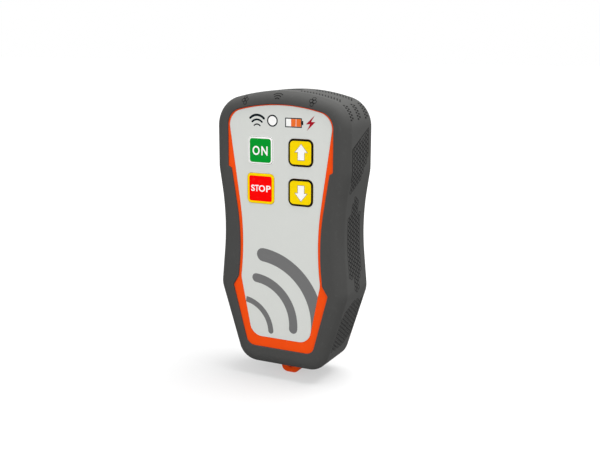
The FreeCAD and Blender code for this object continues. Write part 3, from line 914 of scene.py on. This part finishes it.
def arc_pairs(x, y, radius, width, start, end, round_start=True, round_end=True):
    """Paired outer and inner points along an arc, from one angle in degrees to another."""
    start_angle, end_angle = math.radians(start), math.radians(end)
    length = radius * abs(end_angle - start_angle)
    steps = [length * piece / ARC_PIECES for piece in range(ARC_PIECES + 1)]
    ends = [width / 2 * math.sin(math.radians(angle)) for angle in END_ANGLES]
    if round_start:
        steps = [-step for step in ends] + steps
    if round_end:
        steps = steps + [length + step for step in reversed(ends)]
    centre = Vector((x, y))
    pairs = []
    for step in steps:
        beyond = max(0.0, -step, step - length)
        half = math.sqrt((width / 2) ** 2 - beyond ** 2)
        angle = start_angle + (end_angle - start_angle) * step / length
        way = Vector((math.cos(angle), math.sin(angle)))
        pairs.append((centre + way * (radius + half), centre + way * (radius - half)))
    return pairs


def radio_sign(mesh, x, y, scale, lines, low, high, place):
    """Three arcs over the middle of the smallest one, with a width for the line of each."""
    for (rise, radius, half_angle), line in zip(WAVES, lines):
        pairs = arc_pairs(x, y + scale * rise, scale * radius, line, 90 + half_angle, 90 - half_angle)
        strip(mesh, pairs, low, high, place)


print("the sign has", len(WAVES), "waves")

# %% [markdown]
# On the nose over the window there are three small moulded signs: two clusters of four cells, and the
# radio waves between them. They are made like the grip relief, with its cell and its rubber, whose dark
# colour is painted shade.

# %% Signs on the nose
NOSE_CELL = 2.05
NOSE_LINE = 0.28
CLUSTER_PLACES = (-20.9, 19.3)
CLUSTER_DOWN = down_at(0.2)
CLUSTER_CELLS = [(0, 1), (-1, 0), (1, 0), (0, -1)]
NOSE_WAVES_X = -1.2
NOSE_WAVES_SCALE = 0.63
NOSE_WAVES_DOWN = down_at(-0.26) - NOSE_WAVES_SCALE * WAVES[0][1]
NOSE_WAVE_LINES = (0.46, 0.46, 0.46)
signs = bmesh.new()
for cluster_x in CLUSTER_PLACES:
    for across, upward in CLUSTER_CELLS:
        along = along_at_x(cluster_x) + across * NOSE_CELL / 2
        down = CLUSTER_DOWN + upward * NOSE_CELL * math.sqrt(3) / 2
        cell(signs, down, along, NOSE_CELL, NOSE_LINE, on_right)
waves_along = along_at_x(NOSE_WAVES_X)
radio_sign(signs, waves_along, NOSE_WAVES_DOWN, NOSE_WAVES_SCALE, NOSE_WAVE_LINES, SUNK, RELIEF, on_skin)
finished("nose_signs", signs, relief_rubber_painted_shade)

# %% [markdown]
# The label is printed film: signs for radio, lamp, battery and charging at the top, and broad grey wave
# arcs below. Ink has almost no height, but a thin solid catches the light at its edge and can be seen
# from any side, so each print is a plate a few hundredths of a millimetre thick that reaches a little
# into the film.

# %% Radio and lamp signs
PRINT_MIDDLE = 0.5
PRINT_TOP = 0.04
PRINT_FOOT = -0.03
LABEL_WAVES = (-13.7, 128.56)
LABEL_WAVE_LINES = (0.65, 0.95, 1.2)
LAMP = (-4.7, 133.05)
LAMP_RING = 3.1
LAMP_LINE = 0.68


def on_label(x, height, lift):
    """Point over the label, with x from the middle of the print, a little right of the remote's."""
    return at(PRINT_MIDDLE + x, -lift, height)


def circle(x, y, radius, count=48):
    """Points round a circle, each with its direction to the inside."""
    angles = [2 * math.pi * i / count for i in range(count)]
    ways = [Vector((math.sin(angle), math.cos(angle))) for angle in angles]
    return [(Vector((x, y)) + way * radius, -way) for way in ways]


def print_section(width):
    return [(0.0, PRINT_FOOT), (0.0, PRINT_TOP), (width, PRINT_TOP), (width, PRINT_FOOT)]


dark_signs = bmesh.new()
radio_sign(dark_signs, *LABEL_WAVES, 1.0, LABEL_WAVE_LINES, PRINT_FOOT, PRINT_TOP, on_label)
ring(dark_signs, circle(*LAMP, LAMP_RING), print_section(LAMP_LINE), on_label)
print("radio and lamp signs have", len(dark_signs.faces), "faces")

# %% [markdown]
# The battery sign is a frame round the gauge window with a nub at its end, and the window itself carries
# two orange bars. The bolt beside it is one polygon with six corners.

# %% Battery and bolt
# Left, right, low and high sides
BATTERY_FRAME = (2.7, 12.26, 130.05, 134.95)
BATTERY_ROUND = 0.3
BATTERY_LINE = 0.5
BATTERY_NUB = (12.2, 13.0, 131.5, 133.6)
BATTERY_BARS = [(6.1, 8.8), (9.05, 11.7)]
BAR_HEIGHTS = (130.6, 134.42)
BOLT = [(19.5, 136.7), (17.4, 133.35), (19.75, 133.3), (15.1, 128.75), (16.85, 132.1), (14.5, 132.0)]
battery_corners = rounded(rectangle(*BATTERY_FRAME), BATTERY_ROUND)
ring(dark_signs, trace(battery_corners), print_section(BATTERY_LINE), on_label)
plate(dark_signs, rectangle(*BATTERY_NUB), PRINT_FOOT, PRINT_TOP, on_label)
finished("label_signs", dark_signs, inks["dark"])
bars = bmesh.new()
for left, right in BATTERY_BARS:
    plate(bars, rectangle(left, right, *BAR_HEIGHTS), PRINT_FOOT, PRINT_TOP, on_label)
finished("gauge_bars", bars, inks["cell"])
bolt = bmesh.new()
plate(bolt, BOLT, PRINT_FOOT, PRINT_TOP, on_label)
finished("charging_bolt", bolt, inks["bolt"])

# %% [markdown]
# Of the three broad arcs, the largest runs out over the right edge of the label and the smallest comes in
# over the left one. Cutting them with the label's own outline, as a printer's trimming knife does, gives
# those ends exactly. The knife is deeper than the print on both sides.

# %% Wave arcs
# Middle, radius, width, angles of the start and the end, and whether each of these is round
ARCS = [
    (-14.0, 26.0, 35.7, 7.3, 84.6, -10.0, True, False),
    (-16.5, 24.5, 24.0, 4.9, 85.8, -4.5, True, True),
    (-23.5, 18.5, 17.5, 3.1, 82.0, 4.0, False, True),
]
LABEL_TOP = 140.8
KNIFE_DEPTHS = (-2 * PRINT_FOOT, -2 * PRINT_TOP)
label_corners = both_sides(crown(WINDOW_HALF_WIDTH, LABEL_TOP, WINDOW_SHOULDER) + [
    (20.9, WINDOW_WAIST, 147.0), (23.5, WINDOW_HIP, 8.0), (17.0, 16.0, 7.0)])
label_edge = [point for point, inward in trace(label_corners)]
for number, arc in enumerate(ARCS, 1):
    wave = bmesh.new()
    strip(wave, arc_pairs(*arc), PRINT_FOOT, PRINT_TOP, on_label)
    printed = finished("wave_arc_" + str(number), wave, inks["grey"])
    knife = bmesh.new()
    plate(knife, label_edge, *KNIFE_DEPTHS, on_back)
    kept_result(printed, "trim", finished("knife", knife, inks["grey"]), "INTERSECT")

# %% [markdown]
# Each key is a coloured cap with a frame in a second colour round its edge. The frame is swept round the
# key's own outline, over its slanted edge, and stays inside the gap to the label. It rides on the key's
# body, so it goes in with the key when that is pressed.

# %% Key frames
KEY_PROUD = 0.35
KEY_CHAMFER = 0.25
FRAME_THICKNESS = 0.03
FRAME_ROOT = 0.1
# Middle, height, size and corner radius of each key, and the colour and width of its frame
KEYS = {
    "on": (-11.7, 117.3, 14.0, 2.2, "white", 0.72),
    "stop": (-11.7, 97.2, 15.8, 2.2, "yellow", 1.2),
    "up": (11.7, 117.3, 14.0, 3.0, "black", 0.95),
    "down": (11.7, 96.7, 14.0, 3.0, "black", 0.95),
}


def square(x, y, size, radius):
    half = size / 2
    return rounded(rectangle(x - half, x + half, y - half, y + half), radius)


face = KEY_PROUD + FRAME_THICKNESS
for key, (x, height, size, radius, colour, width) in KEYS.items():
    key_frame = bmesh.new()
    section = [(FRAME_ROOT, 0.0), (-FRAME_THICKNESS, 0.0), (-FRAME_THICKNESS, face - KEY_CHAMFER),
               (KEY_CHAMFER - FRAME_THICKNESS, face), (width, face), (width, KEY_PROUD - FRAME_THICKNESS)]
    ring(key_frame, trace(square(x, height, size, radius)), section, on_label)
    finished(key + "_key_frame", key_frame, inks[colour], key + "_key")

# %% [markdown]
# The white frame of the ON key looks broader than the key, because the label carries a thin white line
# just outside the gap round it. That line belongs to the label, so it stays where it is when the key goes
# in.

# %% White line round the ON key
KEY_GAP = 0.22
SURROUND_LINE = 0.25
surround_reach = KEY_GAP + SURROUND_LINE
x, height, size, radius = KEYS["on"][:4]
surround_corners = square(x, height, size + 2 * surround_reach, radius + surround_reach)
surround = bmesh.new()
ring(surround, trace(surround_corners), print_section(SURROUND_LINE), on_label)
finished("on_key_surround", surround, inks["white"])

# %% [markdown]
# Two keys carry the words ON and STOP and two carry arrows. Blender's own font, made a little bolder, gives
# each letter as a filled curve. Its mesh is stretched to the measured width and height and laid on the
# key. Setting the letters one by one keeps the wide O and the narrow S that a font stretched as a whole
# word would even out.

# %% Letters
BOLDER = 0.02
SAME_PLACE = 0.0001
# Low and high edge of each word, and the left and right edge of each letter
WORDS = {
    "on": ((114.8, 119.6), {"O": (-16.3, -12.1), "N": (-11.05, -7.4)}),
    "stop": ((95.6, 99.0), {"S": (-17.3, -15.1), "T": (-14.95, -12.8),
                            "O": (-12.7, -8.95), "P": (-8.3, -5.65)}),
}


def stamp(mesh, letter, across, heights):
    """Adds a letter that fills a width and a height on the front of the keys."""
    curve = bpy.data.curves.new(letter, "FONT")
    curve.body = letter
    curve.offset = BOLDER
    # Any thickness will do, because the print's own is set below
    curve.extrude = 1.0
    holder = bpy.data.objects.new(letter, curve)
    bpy.context.scene.collection.objects.link(holder)
    bpy.context.view_layer.update()
    shape = bpy.data.meshes.new_from_object(holder.evaluated_get(bpy.context.evaluated_depsgraph_get()))
    bpy.data.objects.remove(holder)
    xs, ys = [v.co.x for v in shape.vertices], [v.co.y for v in shape.vertices]
    for v in shape.vertices:
        x = np.interp(v.co.x, (min(xs), max(xs)), across)
        y = np.interp(v.co.y, (min(ys), max(ys)), heights)
        v.co = on_label(x, y, KEY_PROUD + (PRINT_TOP if v.co.z > 0 else PRINT_FOOT))
    mesh.from_mesh(shape)


for key, (heights, word) in WORDS.items():
    stamped = bmesh.new()
    for letter, across in word.items():
        stamp(stamped, letter, across, heights)
    bmesh.ops.remove_doubles(stamped, verts=stamped.verts, dist=SAME_PLACE * MM)
    finished(key + "_key_word", stamped, inks["white"], key + "_key")

# %% [markdown]
# The arrows are white polygons with a thin grey line round them. The line is a slightly larger arrow
# underneath, lower by a fraction of the print's thickness, because two faces at the same height would
# flicker.

# %% Arrows
ARROW = [(0.3, 4.4), (3.7, 0.35), (2.1, 0.35), (2.1, -3.7), (-1.5, -3.7), (-1.5, 0.35), (-3.1, 0.35)]
ARROW_LINE = 0.22
LINE_TOP = 0.02
ARROW_LAYERS = [("line", ARROW_LINE, LINE_TOP, "grey"), ("arrow", 0.0, PRINT_TOP, "white")]
arrow_corners = trace_corners(ARROW)
for key, flip in (("up", 1), ("down", -1)):
    x, height = KEYS[key][:2]
    for part, grow, top, colour in ARROW_LAYERS:
        shape = bmesh.new()
        moved = [point - inward * grow for point, inward in arrow_corners]
        points = [(x + point.x, height + flip * point.y) for point in moved]
        plate(shape, points, KEY_PROUD + PRINT_FOOT, KEY_PROUD + top, on_label)
        finished(key + "_key_" + part, shape, inks[colour], key + "_key")

# %% [markdown]
# Four screws hold the case together from the back. Each head sits in its pocket and has a hexagonal
# socket. It is turned from rings of points like a head on a lathe, and the flat between the round edge
# and the socket is filled.

# %% Screw heads
SCREW_ROWS = [(20.3, 129.6), (11.0, 21.8)]
POCKET_FLOOR = 28.7
HEAD_RADIUS = 2.7
HEAD_EDGE = 0.35
HEAD_STEPS = 3
HEAD_TOP = 30.9
HEAD_SHARP = math.radians(35)
SOCKET_ACROSS = 2.5
SOCKET_FLOOR = 29.5
heads = bmesh.new()
for x, height in [(side * x, height) for x, height in SCREW_ROWS for side in (1, -1)]:
    edge = circle(x, height, HEAD_RADIUS)
    head_loops = [loop(heads, edge, 0.0, POCKET_FLOOR)]
    for step in range(HEAD_STEPS + 1):
        angle = step / HEAD_STEPS * math.pi / 2
        top = HEAD_TOP - HEAD_EDGE * (1 - math.sin(angle))
        head_loops.append(loop(heads, edge, HEAD_EDGE * (1 - math.cos(angle)), top))
    socket = circle(x, height, SOCKET_ACROSS / math.sqrt(3), 6)
    socket_loops = [loop(heads, socket, 0.0, depth) for depth in (HEAD_TOP, SOCKET_FLOOR)]
    wall(heads, head_loops)
    wall(heads, socket_loops)
    flat(heads, head_loops[-1], socket_loops[0])
    heads.faces.new(head_loops[0])
    heads.faces.new(socket_loops[1])
screws = finished("case_screw_heads", heads, screw_steel)
screws.data.shade_smooth()
screws.data.set_sharp_from_angle(angle=HEAD_SHARP)

# %% [markdown]
# The studio is a pale floor under a white surround. Both are white to the camera, to mirrors and to glass,
# but the light that they give to the remote stays at a plain level, so that its colours look as written
# and the floor keeps a soft shadow.

# %% Surround
AMBIENT = 0.42
DIRECT_RAYS = ("Is Camera Ray", "Is Glossy Ray", "Is Transmission Ray")


def seen_directly(wire):
    """1 for rays from the camera, mirrors and glass, and 0 for those that carry light to a surface."""
    rays = [wire.node("ShaderNodeLightPath", {}, {}, name) for name in DIRECT_RAYS]
    return rays[0] + rays[1] + rays[2]


world = bpy.data.worlds.new("studio")
world.use_nodes = True
bpy.context.scene.world = world
sky = world.node_tree.nodes["Background"]
sky.inputs["Color"].default_value = (1.0, 1.0, 1.0, 1.0)
(AMBIENT + (1 - AMBIENT) * seen_directly(Wire(world.node_tree))).feed(sky, "Strength")
print("ambient light", AMBIENT)

# %% [markdown]
# The floor is matt paper that glows a little, more so further out, where it runs into the white surround
# with no horizon. The glow is kept low near the remote, because it would wash out the shadow there.

# %% Floor
FLOOR_SIZE = 12.0
FLOOR_GLOW = (0.5, 0.95)
GLOW_RADII = (0.1, 0.9)
PAPER_GRAIN = 0.8
PAPER_GREYS = (0.3, 0.32)
paper, paper_shader, paper_place = bare_finish("floor_paper", {"Roughness": 0.9, "Emission Strength": 1.0})
distance = paper_place.node("ShaderNodeVectorMath", {"operation": "LENGTH"}, {0: paper_place}, "Value")
glow = FLOOR_GLOW[0] + (FLOOR_GLOW[1] - FLOOR_GLOW[0]) * distance.between(*GLOW_RADII)
(glow * seen_directly(paper_place)).feed(paper_shader, "Emission Color")
greys = [[grey, grey, grey, 1.0] for grey in PAPER_GREYS]
noise(paper_place, PAPER_GRAIN).blend(*greys).feed(paper_shader, "Base Color")
floor_mesh = bmesh.new()
bmesh.ops.create_grid(floor_mesh, x_segments=1, y_segments=1, size=FLOOR_SIZE / 2)
floor_data = bpy.data.meshes.new("floor")
floor_mesh.to_mesh(floor_data)
floor_mesh.free()
floor_data.materials.append(paper)
floor = bpy.data.objects.new("floor", floor_data)
floor.location.z = cad_box[0].z
bpy.context.scene.collection.objects.link(floor)
print("floor", FLOOR_SIZE, "m wide")

# %% [markdown]
# Three large soft lamps light the remote: one overhead, which makes the crown the brightest part of the
# rubber, and one on each side of the camera. Large lamps close by give the broad, even shading of a
# product photograph.

# %% Lamps
# Place and size in metres, and power in watts
LAMPS = {
    "overhead": ((0.2, 0.15, 0.95), 0.8, 16.5),
    "front": ((-0.25, -1.0, 0.45), 0.9, 4.7),
    "right": ((0.75, -0.75, 0.35), 0.9, 3.4),
}
middle_of_remote = (cad_box[0] + cad_box[1]) / 2
for name, (place, size, power) in LAMPS.items():
    lamp = bpy.data.lights.new(name, "AREA")
    lamp.size = size
    lamp.energy = power
    holder = bpy.data.objects.new(name, lamp)
    holder.location = place
    holder.rotation_euler = (middle_of_remote - Vector(place)).to_track_quat("-Z", "Y").to_euler()
    bpy.context.scene.collection.objects.link(holder)
print(len(LAMPS), "lamps")

# %% [markdown]
# Last, the picture is shown without a film look.

# %% Finish
bpy.context.scene.view_settings.view_transform = "Standard"
